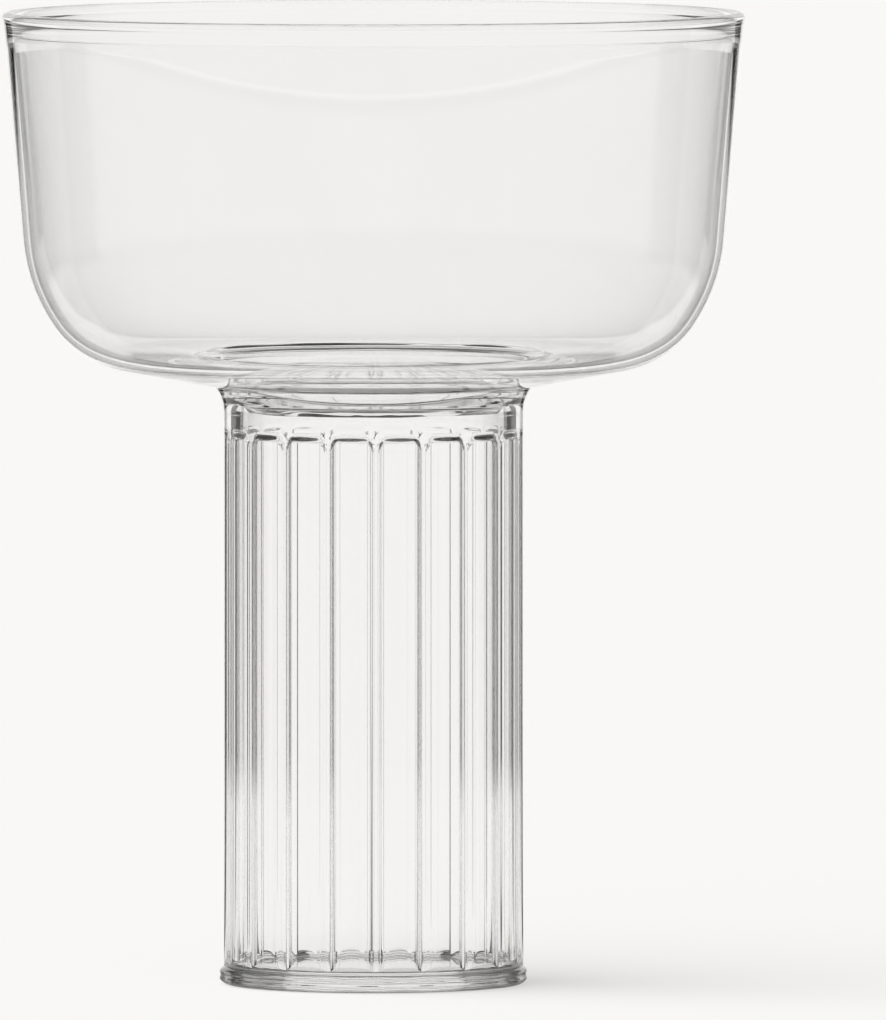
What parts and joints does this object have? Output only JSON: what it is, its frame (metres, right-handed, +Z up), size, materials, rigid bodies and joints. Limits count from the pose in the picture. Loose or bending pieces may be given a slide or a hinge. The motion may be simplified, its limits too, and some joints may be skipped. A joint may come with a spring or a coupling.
{
  "type": "champagne glass",
  "caption": "Champagne coupe in clear glass: a wide bowl with a beaded rim and a small well, on a hollow column fluted inside, joined by a flared collar, with a flat closed foot.",
  "frame": {"origin": "middle of the foot's flat underside, on the glass's axis", "axes": "+Z up along the axis, from the foot to the rim; -Y is the side that faces the picture's camera"},
  "size_m": [0.0992, 0.0992, 0.13],
  "materials": {
    "bowl_glass": "clear, fire polished",
    "collar_glass": "clear, flame worked",
    "column_glass": "clear, drawn tube, smooth outside and ribbed inside",
    "foot_glass": "clear, flame worked"
  },
  "bodies": {
    "root": {"bowl": "bowl_glass", "neck_collar": "collar_glass", "fluted_column": "column_glass", "foot_disc": "foot_glass"}
  },
  "joints": []
}
